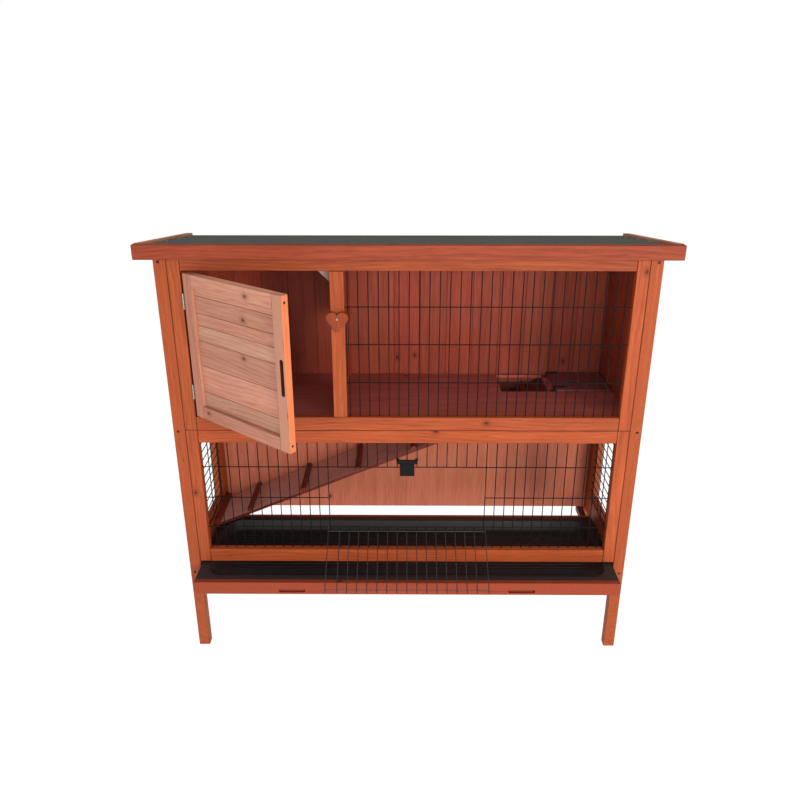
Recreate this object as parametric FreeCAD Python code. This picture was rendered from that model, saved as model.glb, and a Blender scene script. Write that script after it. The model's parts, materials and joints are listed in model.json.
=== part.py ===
"""Two-storey rabbit hutch in stained fir, modelled in millimetres with +Z up.

The hutch faces -Y. The origin lies on the floor, under the middle of its outline, with the nest
door standing open as modelled. Every function works from the front face of the legs (y = 0, the
back wall lies at positive y), and save() moves the finished pieces by FRONT into the row's frame.
"""
import FreeCAD, Part
import math
import os
from FreeCAD import Vector

os.makedirs("parts", exist_ok=True)

# ---- carcass -----------------------------------------------------------------------------------
BODY_W = 1170.0         # across the legs
BODY_D = 380.0          # front of the front legs to the back of the rear legs
LEG_W, LEG_D = 30.0, 25.0
FRAME_T = 20.0          # thickness of the front frames
STILE_W = 30.0          # width of a front stile, beside the leg
SIDE_T = 18.0           # thickness of the side frames
BOARD_T = 8.0           # wall boards, partition and floor
EASE = 0.9              # planed edges are eased by this much
STOREY_Z = 664.0        # seam between the lower and the upper front frame
LOWER_Z = 278.0         # underside of the lower frames
RAIL_H = 36.0           # the four front rails
TOP_RAIL_Z = 1065.0     # underside of the upper top rail
LEG_IN = BODY_W / 2 - LEG_W             # inner face of the legs
OPENING = LEG_IN - STILE_W              # half width of the front openings
SIDE_IN = 560.0                         # inner face of the side walls
BACK_IN = 350.0                         # inner face of the back wall
UPPER_SILL = STOREY_Z + RAIL_H
LOWER_SILL = LOWER_Z + RAIL_H + 2
LOWER_HEAD = STOREY_Z - RAIL_H + 1
CENTRE_STILE = (-182.0, -148.0)
OVER_ROOF = 1200.0      # timbers that meet the roof start this tall and are then cut off under it
BATTEN_W, BATTEN_H = 18.0, 20.0         # strips under the floor and the ramp
WALL_RAIL_H = 40.0      # rails outside the side walls and behind the back wall

# ---- roof ---------------------------------------------------------------------------------------
ROOF_W = 1240.0
ROOF_FRONT, ROOF_BACK = -30.0, 415.0
FASCIA_T, FASCIA_H, FASCIA_TOP = 18.0, 34.0, 1130.0
ROOF_FALL = 0.112       # drop per millimetre towards the back
FELT_T, DECK_T = 2.5, 9.0
FELT_TOP = 1126.0       # height of the felt where it meets the front fascia
SIDE_LIP = 5.0          # side fascias stand this far above the felt

# ---- wire mesh ----------------------------------------------------------------------------------
WIRE_R = 1.0
UPPER_PITCH, LOWER_PITCH = 24.1, 25.4
UPPER_WIRES = 28
UPPER_CROSS = (788.0, 885.5, 978.0)
LOWER_CROSS = (379.5, 468.0, 557.0)     # the wire door fills the space from the first to the last
MESH_Y = 10.0           # centre of the cross wires in the front frames
LAYER = 2 * WIRE_R + 0.05               # from one layer of wires to the other
DOOR_HALF_PITCHES = 8   # the wire door's opening reaches this many pitches each side
WINDOW_Y = (95.0, 285.0)
WINDOW_Z = (318.0, 625.0)
SIDE_FRAME_Z = 240.0    # underside of the side frames, which reach down beside the drawer
WINDOW_UPRIGHTS = (99.0, 130.0, 217.5, 281.0)

# ---- nest door ----------------------------------------------------------------------------------
DOOR_W, DOOR_H, DOOR_T = 338.0, 358.0, 19.5
DOOR_GAP = 3.5
DOOR_STILE, DOOR_RAIL = 30.0, 33.0
DOOR_OPEN = 39.5        # degrees, as modelled
HINGE_X, HINGE_Y = -OPENING + 1.75, -2.3
HINGE_LEN, KNUCKLE_R, PIN_R, LEAF_T = 38.0, 2.2, 1.0, 1.0
HINGE_Z = (768.0, 994.0)
SLAT_HEIGHTS = (39.0, 66.0, 62.0, 37.0, 30.0, 41.0, 17.0)
SLAT_SET_BACK = 8.0
DOOR_Z = UPPER_SILL + DOOR_GAP

# ---- wire door and its latch --------------------------------------------------------------------
FLAP_R = 1.1            # wire radius of the door
FLAP_LEN = 180.0
FLAP_HALF = 207.5
FLAP_LEAN = 34.5        # degrees below level, lying forward over the drawer
CURL_R = WIRE_R + FLAP_R + 0.4          # the door's wires curl round the lowest cross wire
CURL_ANGLE = 270        # degrees that the ends go round it
LATCH_X = 0.0
LATCH_BAR_Z, LATCH_TONGUE_Z, LATCH_LUG_Z = (570.0, 582.0), (537.0, 572.0), (572.0, 580.0)

# ---- turn button --------------------------------------------------------------------------------
BUTTON_X, BUTTON_Z, BUTTON_T = -165.5, 954.0, 11.0

# ---- floor, hatch and ramp ----------------------------------------------------------------------
FLOOR_TOP = 689.0
HATCH_X, HATCH_Y = (258.0, 388.0), (207.0, 338.0)
COVER_AXIS_X, COVER_AXIS_Z = 404.0, FLOOR_TOP + 4.3
COVER_W, COVER_T = 150.0, 6.0
COVER_Y = (203.0, 343.0)
COVER_HINGE_Y = (219.0, 331.0)
RAMP_X, RAMP_Z = (-545.0, 388.0), (285.0, 680.0)
RAMP_Y, RAMP_T = (185.0, 345.0), 9.0
CLEAT_X, CLEAT_PITCH, CLEATS = -452.0, 157.2, 6
PARTITION_X = -165.5
DOORWAY_Y, DOORWAY_TOP, DOORWAY_CORNER = (190.0, 320.0), 890.0, 30.0

# ---- drawer -------------------------------------------------------------------------------------
DRAWER_W, DRAWER_Z, DRAWER_TOP = 1104.0, 236.0, 273.0
DRAWER_D, DRAWER_FRONT_T, DRAWER_SIDE_T = 342.0, 15.0, 12.0
PULLED = 88.0           # the drawer is modelled pulled out by this much
TRAY_T, TRAY_RIM, TRAY_DEPTH, TRAY_SLOPE = 2.0, 25.0, 27.0, 14.0
RIB_PITCH, RIB_W, RIB_H = 14.0, 5.0, 1.8
SLOT_L, SLOT_H, SLOT_DEEP, SLOT_X = 70.0, 10.0, 9.0, 298.0

# The outline runs from the open door's free corner to the roof's back edge. FRONT centres it.
DOOR_SWEEP = -OPENING + DOOR_GAP + DOOR_W - HINGE_X
DOOR_REACH = DOOR_SWEEP * math.sin(math.radians(DOOR_OPEN)) \
    + HINGE_Y * math.cos(math.radians(DOOR_OPEN)) - HINGE_Y
FRONT = (DOOR_REACH - ROOF_BACK) / 2


def save(name, *solids):
    moved = [solid.translated(Vector(0, FRONT, 0)) for solid in solids]
    shape = moved[0] if len(moved) == 1 else Part.makeCompound(moved)
    shape.exportStep("parts/" + name + ".step")


def box(x, y, z):
    """A plain block between the pairs of limits x, y and z."""
    return Part.makeBox(x[1] - x[0], y[1] - y[0], z[1] - z[0], Vector(x[0], y[0], z[0]))


def timber(x, y, z, ease=EASE):
    """A planed timber with its edges eased."""
    block = box(x, y, z)
    return block.makeChamfer(ease, block.Edges)


def mirrored(shape):
    return shape.mirror(Vector(0, 0, 0), Vector(1, 0, 0))


def rod(start, end, radius=WIRE_R):
    line = end - start
    return Part.makeCylinder(radius, line.Length, start, line)


def prism(points, direction):
    """A closed outline of (x, y, z) points, pushed along direction."""
    corners = [Vector(*point) for point in points]
    return Part.Face(Part.makePolygon(corners + corners[:1])).extrude(direction)


def felt_z(y):
    return FELT_TOP - ROOF_FALL * (y - (ROOF_FRONT + FASCIA_T))


def sloping(x, y, above, below):
    """A board that follows the roof's slope, between two offsets from the felt's top."""
    outline = [(x[0], y[0], felt_z(y[0]) + below), (x[0], y[1], felt_z(y[1]) + below),
               (x[0], y[1], felt_z(y[1]) + above), (x[0], y[0], felt_z(y[0]) + above)]
    return prism(outline, Vector(x[1] - x[0], 0, 0))


def under_roof(shape):
    """The shape cut off along the underside of the roof deck."""
    space = sloping((-ROOF_W, ROOF_W), (-100, BODY_D + 100), 300, -FELT_T - DECK_T)
    return shape.cut(space)


def screw(head_at, direction, head_r=3.2, head_h=2.2, shank_r=1.6, shank=12.0):
    """A pan-head screw. head_at is the middle of the bearing face, direction points outwards."""
    head = Part.makeCylinder(head_r, head_h, head_at, direction)
    head = head.makeChamfer(0.6, [edge for edge in head.Edges if edge.Closed][:1])
    recess = Part.makeBox(3.6, 0.9, 0.9, Vector(-1.8, -0.45, 0))
    cross = recess.fuse(recess.rotated(Vector(0, 0, 0), Vector(0, 0, 1), 90))
    turn = FreeCAD.Rotation(Vector(0, 0, 1), direction)
    cross.Placement = FreeCAD.Placement(head_at + direction * (head_h - 0.8), turn)
    return head.cut(cross).fuse(rod(head_at - direction * shank, head_at, shank_r)).removeSplitter()


def screw_hole(mouth, direction, radius=3.5, deep=4.0, shank_r=1.6, shank=12.0):
    """The counterbore and pilot hole that take such a screw, direction pointing out."""
    bore = rod(mouth - direction * deep, mouth + direction, radius)
    return bore.fuse(rod(mouth - direction * (deep + shank), mouth - direction * deep, shank_r))


def rounded_slot(centre, length, height, depth, along, into):
    """A slot with round ends, its long side along one axis, cut from centre into the timber."""
    half = along * ((length - height) / 2)
    up = into.cross(along)
    ends = [centre - half + up * (height / 2), centre + half + up * (height / 2),
            centre + half + along * (height / 2),
            centre + half - up * (height / 2), centre - half - up * (height / 2),
            centre - half - along * (height / 2)]
    edges = [Part.makeLine(ends[0], ends[1]), Part.Arc(ends[1], ends[2], ends[3]).toShape(),
             Part.makeLine(ends[3], ends[4]), Part.Arc(ends[4], ends[5], ends[0]).toShape()]
    return Part.Face(Part.Wire(edges)).extrude(into * depth)


# ---- legs and their screws ------------------------------------------------------------------------
LEG_SCREW_X = 573.0
LEG_SCREW_Z = (243.0, 660.0, 1086.0)
COUNTERBORE = 4.0


def legs():
    front = timber((LEG_IN, BODY_W / 2), (0, LEG_D), (0, OVER_ROOF))
    rear = timber((LEG_IN, BODY_W / 2), (BODY_D - LEG_D, BODY_D), (0, OVER_ROOF))
    for z in LEG_SCREW_Z:
        front = front.cut(screw_hole(Vector(LEG_SCREW_X, 0, z), Vector(0, -1, 0)))
    front, rear = under_roof(front), under_roof(rear)
    save("right_front_leg", front)
    save("left_front_leg", mirrored(front))
    save("right_rear_leg", rear)
    save("left_rear_leg", mirrored(rear))
    screws = [screw(Vector(LEG_SCREW_X, COUNTERBORE, z), Vector(0, -1, 0)) for z in LEG_SCREW_Z]
    save("frame_screws", *screws, *[mirrored(one) for one in screws])


# ---- front frames ---------------------------------------------------------------------------------
def front_frames():
    depth = (0, FRAME_T)
    upper = under_roof(timber((OPENING, LEG_IN), depth, (STOREY_Z, OVER_ROOF)))
    lower = timber((OPENING, LEG_IN), depth, (LOWER_Z, STOREY_Z))
    across = (-OPENING, OPENING)
    centre = timber(CENTRE_STILE, depth, (UPPER_SILL, TOP_RAIL_Z))
    centre = centre.cut(rod(Vector(BUTTON_X, -1, BUTTON_Z), Vector(BUTTON_X, 14, BUTTON_Z), 1.6))
    save("upper_front_stiles", upper, mirrored(upper))
    save("upper_front_top_rail", under_roof(timber(across, depth, (TOP_RAIL_Z, OVER_ROOF))))
    save("upper_front_bottom_rail", timber(across, depth, (STOREY_Z, UPPER_SILL)))
    save("centre_stile", centre)
    save("lower_front_stiles", lower, mirrored(lower))
    save("lower_front_top_rail", timber(across, depth, (LOWER_HEAD, STOREY_Z)))
    save("lower_front_bottom_rail", timber(across, depth, (LOWER_Z, LOWER_SILL)))


# ---- side walls -----------------------------------------------------------------------------------
def side_walls():
    """Lower frame with a window, upper wall of upright boards held by rails on the outside."""
    span = (LEG_D, BODY_D - LEG_D)
    frame = (SIDE_IN, SIDE_IN + SIDE_T)
    lower = [timber(frame, span, (SIDE_FRAME_Z, WINDOW_Z[0])),
             timber(frame, span, (WINDOW_Z[1], STOREY_Z)),
             timber(frame, (LEG_D, WINDOW_Y[0]), WINDOW_Z),
             timber(frame, (WINDOW_Y[1], BODY_D - LEG_D), WINDOW_Z)]
    boards, count = [], 5
    width = (span[1] - span[0]) / count
    for i in range(count):
        side = (span[0] + i * width, span[0] + (i + 1) * width)
        boards.append(under_roof(timber((SIDE_IN, SIDE_IN + BOARD_T), side, (STOREY_Z, OVER_ROOF))))
    outside = (SIDE_IN + BOARD_T, BODY_W / 2 - 3)
    rail_bottom = timber(outside, span, (STOREY_Z, STOREY_Z + WALL_RAIL_H))
    rail_top = sloping(outside, span, -FELT_T - DECK_T, -FELT_T - DECK_T - WALL_RAIL_H)
    rail_top = rail_top.makeChamfer(EASE, rail_top.Edges)
    for side, place in (("right", lambda shape: shape), ("left", mirrored)):
        save(side + "_side_frame", *[place(one) for one in lower])
        save(side + "_side_boards", *[place(one) for one in boards])
        save(side + "_side_rails", place(rail_bottom), place(rail_top))


def window_mesh():
    """Mesh held to the inner face of the side frames: close wires level, wide-set ones upright."""
    overlap = 8.0
    z_low, z_high = WINDOW_Z[0] - overlap, WINDOW_Z[1] + overlap
    y_low, y_high = WINDOW_Y[0] - overlap, WINDOW_Y[1] + overlap
    upright_x = SIDE_IN - WIRE_R
    wires = [rod(Vector(upright_x, y, z_low), Vector(upright_x, y, z_high))
             for y in WINDOW_UPRIGHTS]
    level_x = upright_x - LAYER
    z = z_low + 4
    while z < z_high:
        wires.append(rod(Vector(level_x, y_low, z), Vector(level_x, y_high, z)))
        z += LOWER_PITCH
    save("right_window_mesh", *wires)
    save("left_window_mesh", *[mirrored(one) for one in wires])


# ---- back wall ------------------------------------------------------------------------------------
BACK_PANEL_Z = 248.0    # the lower panel stops here, above the drawer's path


def back_wall():
    depth = (BACK_IN, BACK_IN + BOARD_T)
    boards, count = [], 15
    width = 2 * LEG_IN / count
    for i in range(count):
        side = (-LEG_IN + i * width, -LEG_IN + (i + 1) * width)
        boards.append(under_roof(timber(side, depth, (STOREY_Z, OVER_ROOF))))
    panel_seam = 0.0
    panels = [timber((-LEG_IN, panel_seam), depth, (BACK_PANEL_Z, STOREY_Z), 0.5),
              timber((panel_seam, LEG_IN), depth, (BACK_PANEL_Z, STOREY_Z), 0.5)]
    rails = (depth[1], depth[1] + 16)
    across = (-LEG_IN, LEG_IN)
    frame = [timber(across, rails, (BACK_PANEL_Z, BACK_PANEL_Z + WALL_RAIL_H)),
             timber(across, rails, (STOREY_Z - WALL_RAIL_H / 2, STOREY_Z + WALL_RAIL_H / 2)),
             under_roof(timber(across, rails, (1030, OVER_ROOF)))]
    save("upper_back_boards", *boards)
    save("lower_back_panels", *panels)
    save("back_frame", *frame)


# ---- mesh in the front frames -----------------------------------------------------------------------
def front_mesh():
    """Upright wires stand in front of the cross wires above, and behind them below."""
    upper = []
    first = CENTRE_STILE[1] + 7
    for i in range(UPPER_WIRES):
        x = first + i * UPPER_PITCH
        upper.append(rod(Vector(x, MESH_Y - LAYER, UPPER_SILL), Vector(x, MESH_Y - LAYER, TOP_RAIL_Z)))
    for z in UPPER_CROSS:
        upper.append(rod(Vector(CENTRE_STILE[1], MESH_Y, z), Vector(OPENING, MESH_Y, z)))
    save("upper_front_mesh", *upper)

    lower = []
    low, middle, high = LOWER_CROSS
    behind = MESH_Y + LAYER
    for i in range(-20, 21):
        x = i * LOWER_PITCH
        spans = [(LOWER_SILL, LOWER_HEAD)]
        if abs(i) < DOOR_HALF_PITCHES:
            spans = [(LOWER_SILL, low + WIRE_R), (high - WIRE_R, LOWER_HEAD)]
        for z0, z1 in spans:
            lower.append(rod(Vector(x, behind, z0), Vector(x, behind, z1)))
    edge = DOOR_HALF_PITCHES * LOWER_PITCH
    for z in (low, high):
        lower.append(rod(Vector(-OPENING, MESH_Y, z), Vector(OPENING, MESH_Y, z)))
    lower.append(rod(Vector(-OPENING, MESH_Y, middle), Vector(-edge + WIRE_R, MESH_Y, middle)))
    lower.append(rod(Vector(edge - WIRE_R, MESH_Y, middle), Vector(OPENING, MESH_Y, middle)))
    save("lower_front_mesh", *lower)


# ---- nest door, built shut and then swung open --------------------------------------------------------
def swung(shape):
    return shape.rotated(Vector(HINGE_X, HINGE_Y, 0), Vector(0, 0, 1), -DOOR_OPEN)


def nest_door():
    left, right = -OPENING + DOOR_GAP, -OPENING + DOOR_GAP + DOOR_W
    bottom, top = DOOR_Z, DOOR_Z + DOOR_H
    depth = (0, DOOR_T)
    inner = (left + DOOR_STILE, right - DOOR_STILE)
    hinge_stile = timber((left, inner[0]), depth, (bottom, top))
    handle_stile = timber((inner[1], right), depth, (bottom, top))
    slot = rounded_slot(Vector(right - 10, 0, 880), 84, 11, 10, Vector(0, 0, 1), Vector(0, 1, 0))
    handle_stile = handle_stile.cut(slot)
    screw_z = (bottom + DOOR_RAIL / 2, top - DOOR_RAIL / 2)
    outward = Vector(1, 0, 0)
    for z in screw_z:
        handle_stile = handle_stile.cut(screw_hole(Vector(right, DOOR_T / 2, z), outward))
    save("door_hinge_stile", swung(hinge_stile))
    save("door_handle_stile", swung(handle_stile))
    save("door_bottom_rail", swung(timber(inner, depth, (bottom, bottom + DOOR_RAIL))))
    save("door_top_rail", swung(timber(inner, depth, (top - DOOR_RAIL, top))))
    slats, z = [], bottom + DOOR_RAIL
    for height in SLAT_HEIGHTS:
        slats.append(swung(timber(inner, (SLAT_SET_BACK, SLAT_SET_BACK + BOARD_T), (z, z + height))))
        z += height
    save("door_slats", *slats)
    save("door_screws", *[swung(screw(Vector(right - COUNTERBORE, DOOR_T / 2, z), outward))
                          for z in screw_z])


def nest_door_hinges():
    """Two butt hinges in the gap between door and stile, three knuckles each."""
    third = HINGE_LEN / 3
    gap = 0.15
    leaf_y = (HINGE_Y, 15.0)
    door_x = -OPENING + DOOR_GAP
    fixed, moving, pins = [], [], []
    head_r, head_h, head_y = 2.0, 0.5, 8.0
    for middle in HINGE_Z:
        low = middle - HINGE_LEN / 2
        axis = Vector(HINGE_X, HINGE_Y, 0)
        bore = rod(axis + Vector(0, 0, low - 1), axis + Vector(0, 0, low + HINGE_LEN + 1), PIN_R + 0.05)
        outer = []
        for start in (low, low + 2 * third):
            outer.append(rod(axis + Vector(0, 0, start + gap),
                             axis + Vector(0, 0, start + third - gap), KNUCKLE_R))
        relief = rod(axis + Vector(0, 0, low + third - gap),
                     axis + Vector(0, 0, low + 2 * third + gap), KNUCKLE_R + 0.2)
        plate = box((-OPENING, -OPENING + LEAF_T), leaf_y, (low, low + HINGE_LEN))
        fixed.append(plate.cut(relief).fuse(outer).cut(bore).removeSplitter())
        knuckle = rod(axis + Vector(0, 0, low + third + gap),
                      axis + Vector(0, 0, low + 2 * third - gap), KNUCKLE_R)
        leaf = box((door_x - LEAF_T, door_x), leaf_y, (low, low + HINGE_LEN))
        for part in outer:
            ring = rod(axis + Vector(0, 0, part.BoundBox.ZMin - 2 * gap),
                       axis + Vector(0, 0, part.BoundBox.ZMax + 2 * gap), KNUCKLE_R + 0.2)
            leaf = leaf.cut(ring)
        moving.append(swung(leaf.fuse(knuckle).cut(bore).removeSplitter()))
        pins.append(rod(axis + Vector(0, 0, low), axis + Vector(0, 0, low + HINGE_LEN), PIN_R))
        for z in (middle - 12, middle + 12):
            seat = Vector(-OPENING + LEAF_T, head_y, z)
            fixed.append(rod(seat, seat + Vector(head_h, 0, 0), head_r))
            seat = Vector(door_x - LEAF_T, head_y, z)
            moving.append(swung(rod(seat, seat - Vector(head_h, 0, 0), head_r)))
    save("door_hinge_leaves_fixed", *fixed)
    save("door_hinge_leaves_moving", *moving)
    save("door_hinge_pins", *pins)


def turn_button():
    """A heart on one screw. Its lobes are arcs, its sides run tangent to them down to the point."""
    lobe_r, lobe_x, lobe_z, point_z = 13.7, 12.3, 2.3, -33.0
    notch_z = lobe_z + math.sqrt(lobe_r ** 2 - lobe_x ** 2)
    rise = lobe_z - point_z
    reach = math.hypot(lobe_x, rise)
    tangent = math.sqrt(reach ** 2 - lobe_r ** 2)
    angle = math.atan2(rise, lobe_x) - math.asin(lobe_r / reach)
    touch_x, touch_z = tangent * math.cos(angle), point_z + tangent * math.sin(angle)

    def at(x, z):
        return Vector(BUTTON_X + x, -BUTTON_T - 0.3, BUTTON_Z + z)

    edges = [Part.makeLine(at(0, point_z), at(touch_x, touch_z)),
             Part.Arc(at(touch_x, touch_z), at(lobe_x + lobe_r, lobe_z), at(0, notch_z)).toShape(),
             Part.Arc(at(0, notch_z), at(-lobe_x - lobe_r, lobe_z), at(-touch_x, touch_z)).toShape(),
             Part.makeLine(at(-touch_x, touch_z), at(0, point_z))]
    heart = Part.Face(Part.Wire(edges)).extrude(Vector(0, BUTTON_T, 0))
    hole = rod(Vector(BUTTON_X, -BUTTON_T - 1, BUTTON_Z), Vector(BUTTON_X, 1, BUTTON_Z), 2.0)
    save("turn_button", heart.cut(hole))
    save("turn_button_screw",
         screw(Vector(BUTTON_X, -BUTTON_T - 0.4, BUTTON_Z), Vector(0, -1, 0), shank=BUTTON_T + 14.0))


def door_stop():
    """A three-cornered block behind the frame that stops the door."""
    x1, z1, leg = PARTITION_X - BOARD_T / 2, 1087.0, 65.0
    corners = [(x1 - leg, FRAME_T, z1), (x1, FRAME_T, z1), (x1, FRAME_T, z1 - leg)]
    save("door_stop", prism(corners, Vector(0, 10, 0)))


# ---- inside of the upper storey -----------------------------------------------------------------------
def upper_inside():
    floor = box((-SIDE_IN, SIDE_IN), (FRAME_T, BACK_IN), (FLOOR_TOP - BOARD_T, FLOOR_TOP))
    through = (FLOOR_TOP - 2 * BOARD_T, FLOOR_TOP + BOARD_T)
    leg_notch = box((LEG_IN, SIDE_IN), (0, LEG_D), through)
    floor = floor.cut([leg_notch, mirrored(leg_notch), box(HATCH_X, HATCH_Y, through)])
    save("upper_floor", floor)

    under = (FLOOR_TOP - BOARD_T - BATTEN_H, FLOOR_TOP - BOARD_T)
    side = timber((SIDE_IN - BATTEN_W, SIDE_IN), (LEG_D, BACK_IN), under)
    save("floor_battens", timber((-SIDE_IN + BATTEN_W, SIDE_IN - BATTEN_W), (FRAME_T, FRAME_T + BATTEN_W),
                                under), side, mirrored(side))

    wall = box((PARTITION_X - BOARD_T / 2, PARTITION_X + BOARD_T / 2), (FRAME_T, BACK_IN),
               (FLOOR_TOP, OVER_ROOF))
    x, shoulder = PARTITION_X - BOARD_T, DOORWAY_TOP - DOORWAY_CORNER
    y0, y1 = DOORWAY_Y
    doorway = [(x, y0, FLOOR_TOP - 1), (x, y1, FLOOR_TOP - 1), (x, y1, shoulder),
               (x, y1 - DOORWAY_CORNER, DOORWAY_TOP), (x, y0 + DOORWAY_CORNER, DOORWAY_TOP),
               (x, y0, shoulder)]
    save("partition", under_roof(wall).cut(prism(doorway, Vector(2 * BOARD_T, 0, 0))))


def ramp():
    """Board up to the hatch, cut upright at both ends, with a cleat every step and two ledgers."""
    x0, x1 = RAMP_X
    fall = (RAMP_Z[1] - RAMP_Z[0]) / (x1 - x0)
    cosine = 1 / math.hypot(1, fall)
    thick = RAMP_T / cosine
    y0, y1 = RAMP_Y
    outline = [(x0, y0, RAMP_Z[0] - thick), (x1, y0, RAMP_Z[1] - thick),
               (x1, y0, RAMP_Z[1]), (x0, y0, RAMP_Z[0])]
    save("ramp_board", prism(outline, Vector(0, y1 - y0, 0)))
    cleats = []
    for i in range(CLEATS):
        x = CLEAT_X + i * CLEAT_PITCH
        z = RAMP_Z[0] + (x - x0) * fall
        cleat = timber((x - 7, x + 7), (y0, y1), (z, z + 9))
        turn = -math.degrees(math.atan(fall))
        cleats.append(cleat.rotated(Vector(x, 0, z), Vector(0, 1, 0), turn))
    save("ramp_cleats", *cleats)
    save("ramp_ledgers", timber((-SIDE_IN, x0), RAMP_Y, (274, 296)),
         timber((x1, x1 + BATTEN_W), RAMP_Y, (FLOOR_TOP - BOARD_T - BATTEN_H, FLOOR_TOP - BOARD_T)))


def hatch_cover():
    """Cover folded back flat beside its hole, on two strap hinges that lie on the floor."""
    x0 = COVER_AXIS_X + 2.5
    z0 = COVER_AXIS_Z - COVER_T / 2
    cover = timber((x0, x0 + COVER_W), COVER_Y, (z0, z0 + COVER_T), 0.6)
    knuckle_r, pin_r, half = 2.4, 1.0, 11.0
    fixed, moving, pins = [], [], []
    for middle in COVER_HINGE_Y:
        start = Vector(COVER_AXIS_X, middle - half, COVER_AXIS_Z)
        bore = rod(start - Vector(0, 1, 0), start + Vector(0, 2 * half + 1, 0), pin_r + 0.05)
        floor_side = (middle - half, middle - 0.2)
        cover_side = (middle + 0.2, middle + half)
        plate = box((COVER_AXIS_X - 14, COVER_AXIS_X), floor_side, (FLOOR_TOP, FLOOR_TOP + 1.0))
        web = box((COVER_AXIS_X - 1.2, COVER_AXIS_X), floor_side, (FLOOR_TOP, COVER_AXIS_Z))
        curl = rod(start, Vector(COVER_AXIS_X, floor_side[1], COVER_AXIS_Z), knuckle_r)
        fixed.append(plate.fuse([web, curl]).cut(bore).removeSplitter())
        top = COVER_AXIS_Z + COVER_T / 2
        strap = box((COVER_AXIS_X, x0 + 26), cover_side, (top, top + 1.0))
        riser = box((COVER_AXIS_X, COVER_AXIS_X + 1.2), cover_side, (COVER_AXIS_Z, top + 1.0))
        curl = rod(Vector(COVER_AXIS_X, cover_side[0], COVER_AXIS_Z),
                   Vector(COVER_AXIS_X, cover_side[1], COVER_AXIS_Z), knuckle_r)
        moving.append(strap.fuse([riser, curl]).cut(bore).removeSplitter())
        pins.append(rod(start, start + Vector(0, 2 * half, 0), pin_r))
    save("hatch_cover", cover)
    save("hatch_hinges_fixed", *fixed)
    save("hatch_hinges_moving", *moving)
    save("hatch_hinge_pins", *pins)


# ---- wire door, built shut and then laid forward --------------------------------------------------------
def laid(shape):
    return shape.rotated(Vector(0, MESH_Y, LOWER_CROSS[0]), Vector(1, 0, 0), 90 + FLAP_LEAN)


def wire_door():
    axis_z = LOWER_CROSS[0]
    face_y = MESH_Y - CURL_R
    first, last = axis_z + 10, axis_z + FLAP_LEN - 10
    wires = []
    for x in (-FLAP_HALF, FLAP_HALF):
        end = Part.Wire(Part.makeCircle(FLAP_R, Vector(x, face_y, axis_z), Vector(0, 0, 1)))
        curl = Part.Face(end).revolve(Vector(x, MESH_Y, axis_z), Vector(1, 0, 0), CURL_ANGLE)
        side = rod(Vector(x, face_y, axis_z), Vector(x, face_y, axis_z + FLAP_LEN), FLAP_R)
        wires.append(laid(side.fuse(curl)))
    for i in range(-7, 8):
        x = i * LOWER_PITCH
        wires.append(laid(rod(Vector(x, face_y, first - FLAP_R), Vector(x, face_y, axis_z + FLAP_LEN),
                              FLAP_R)))
    cross_y = face_y - 2 * FLAP_R - 0.05
    for z in (first, last):
        wires.append(laid(rod(Vector(-FLAP_HALF - FLAP_R, cross_y, z),
                              Vector(FLAP_HALF + FLAP_R, cross_y, z), FLAP_R)))
    save("wire_door", *wires)


def latch():
    """Moulded slide that grips two upright wires and drops over the wire door's free end."""
    back = MESH_Y - 6.4
    front = back - 4.0
    bar = timber((LATCH_X - 26, LATCH_X + 26), (front, back), LATCH_BAR_Z, 0.8)
    tongue = timber((LATCH_X - 18.5, LATCH_X + 18.5), (front - 1.2, back), LATCH_TONGUE_Z, 0.8)
    body = bar.fuse(tongue)
    behind = MESH_Y + LAYER + WIRE_R + 0.3
    for side in (-1, 1):
        wire_x = side * LOWER_PITCH
        inner = sorted((LATCH_X + side * 20.4, wire_x - side * (WIRE_R + 0.3)))
        toe = sorted((LATCH_X + side * 20.4, wire_x + side * 2.4))
        body = body.fuse(box(inner, (back - 1, behind + 1.6), LATCH_LUG_Z))
        body = body.fuse(box(toe, (behind, behind + 1.6), LATCH_LUG_Z))
    save("wire_door_latch", body.removeSplitter())


# ---- roof -------------------------------------------------------------------------------------------------
def roof():
    behind = (ROOF_FRONT + FASCIA_T, ROOF_BACK)
    inside = (-ROOF_W / 2 + FASCIA_T, ROOF_W / 2 - FASCIA_T)
    save("roof_front_fascia", timber((-ROOF_W / 2, ROOF_W / 2), (ROOF_FRONT, behind[0]),
                                     (FASCIA_TOP - FASCIA_H, FASCIA_TOP), 1.2))
    side = sloping((inside[1], ROOF_W / 2), behind, SIDE_LIP, SIDE_LIP - FASCIA_H)
    side = side.makeChamfer(1.2, side.Edges)
    save("roof_right_fascia", side)
    save("roof_left_fascia", mirrored(side))
    cover = (behind[0], ROOF_BACK - 3)
    save("roofing_felt", sloping(inside, cover, 0, -FELT_T))
    save("roof_deck", sloping(inside, cover, -FELT_T, -FELT_T - DECK_T))
    batten = sloping((-LEG_IN, LEG_IN), (ROOF_BACK - 25, ROOF_BACK - 7),
                     -FELT_T - DECK_T, -FELT_T - DECK_T - 25)
    save("roof_back_batten", batten.makeChamfer(EASE, batten.Edges))


# ---- drawer, built shut and then pulled out ------------------------------------------------------------------
def pulled(shape):
    return shape.translated(Vector(0, -PULLED, 0))


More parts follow.
